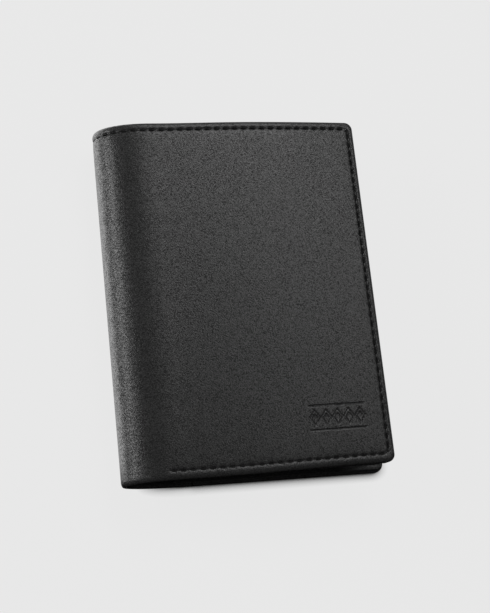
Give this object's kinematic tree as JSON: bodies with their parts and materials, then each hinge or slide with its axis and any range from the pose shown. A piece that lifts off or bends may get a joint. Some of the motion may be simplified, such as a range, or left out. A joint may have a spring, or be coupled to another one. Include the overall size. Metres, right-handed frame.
{
  "type": "vertical wallet",
  "caption": "Upright bifold leather wallet with a rounded spine, sewn hems, note compartment, card leaves, a windowed wing and a flapped coin pocket.",
  "frame": {"origin": "centre of the closed wallet's footprint, on the plane that the rear cover lies on", "axes": "+X from the spine to the fore-edge, +Y to the wallet's top, where the note compartment opens, +Z out of the front cover"},
  "size_m": [0.0952, 0.125, 0.0226],
  "materials": {
    "cover_leather": "black fine-grained nappa, soft sheen",
    "inner_leather": "black smooth leather, satin",
    "lining_cloth": "dark woven lining, matt",
    "seam_thread": "black twisted polyester thread",
    "board": "plain fibre board",
    "foam": "thin dark foam sheet",
    "clear_film": "clear window film",
    "stud_metal": "gunmetal press stud, satin"
  },
  "bodies": {
    "rear": {"rear_cover": "cover_leather", "rear_seam_thread": "seam_thread", "rear_board": "board", "rear_lining": "lining_cloth", "rear_inner_panel": "inner_leather", "coin_pocket_back": "lining_cloth", "coin_flap_root": "inner_leather", "coin_pocket_gusset": "inner_leather", "coin_pocket_front": "inner_leather", "snap_stud": "stud_metal", "wing_hinge_strip": "lining_cloth"},
    "spine": {"spine_cover": "cover_leather", "spine_lining": "lining_cloth", "spine_seam_thread": "seam_thread"},
    "front": {"front_cover": "cover_leather", "front_seam_thread": "seam_thread", "front_lining": "lining_cloth", "front_padding": "foam", "front_inner_panel": "inner_leather", "card_leaf_1": "inner_leather", "card_leaf_2": "inner_leather", "card_leaf_3": "inner_leather"},
    "wing": {"wing_back": "inner_leather", "wing_window": "clear_film", "wing_frame": "inner_leather"},
    "flap": {"coin_flap": "inner_leather", "snap_socket": "stud_metal", "snap_cap": "stud_metal"}
  },
  "joints": [
    {"name": "spine_fold", "type": "hinge", "parent": "rear", "child": "spine", "pos_m": [-0.04472, 0, 0.00561], "axis": [0, -1, 0], "range_deg": [0, 90]},
    {"name": "cover_fold", "type": "hinge", "parent": "spine", "child": "front", "pos_m": [-0.04404, 0, 0.01721], "axis": [0, -1, 0], "range_deg": [0, 90]},
    {"name": "wing_fold", "type": "hinge", "parent": "rear", "child": "wing", "pos_m": [-0.03335, 0, 0.0134], "axis": [0, -1, 0], "range_deg": [0, 171]},
    {"name": "coin_flap_fold", "type": "hinge", "parent": "rear", "child": "flap", "pos_m": [-0.02835, 0, 0.0113], "axis": [0, -1, 0], "range_deg": [0, 117]}
  ],
  "couplings": [
    {"joint": "cover_fold", "follows": "spine_fold", "ratio": 1},
    {"joint": "wing_fold", "follows": "spine_fold", "ratio": 1.9},
    {"joint": "coin_flap_fold", "follows": "spine_fold", "ratio": 1.3}
  ]
}
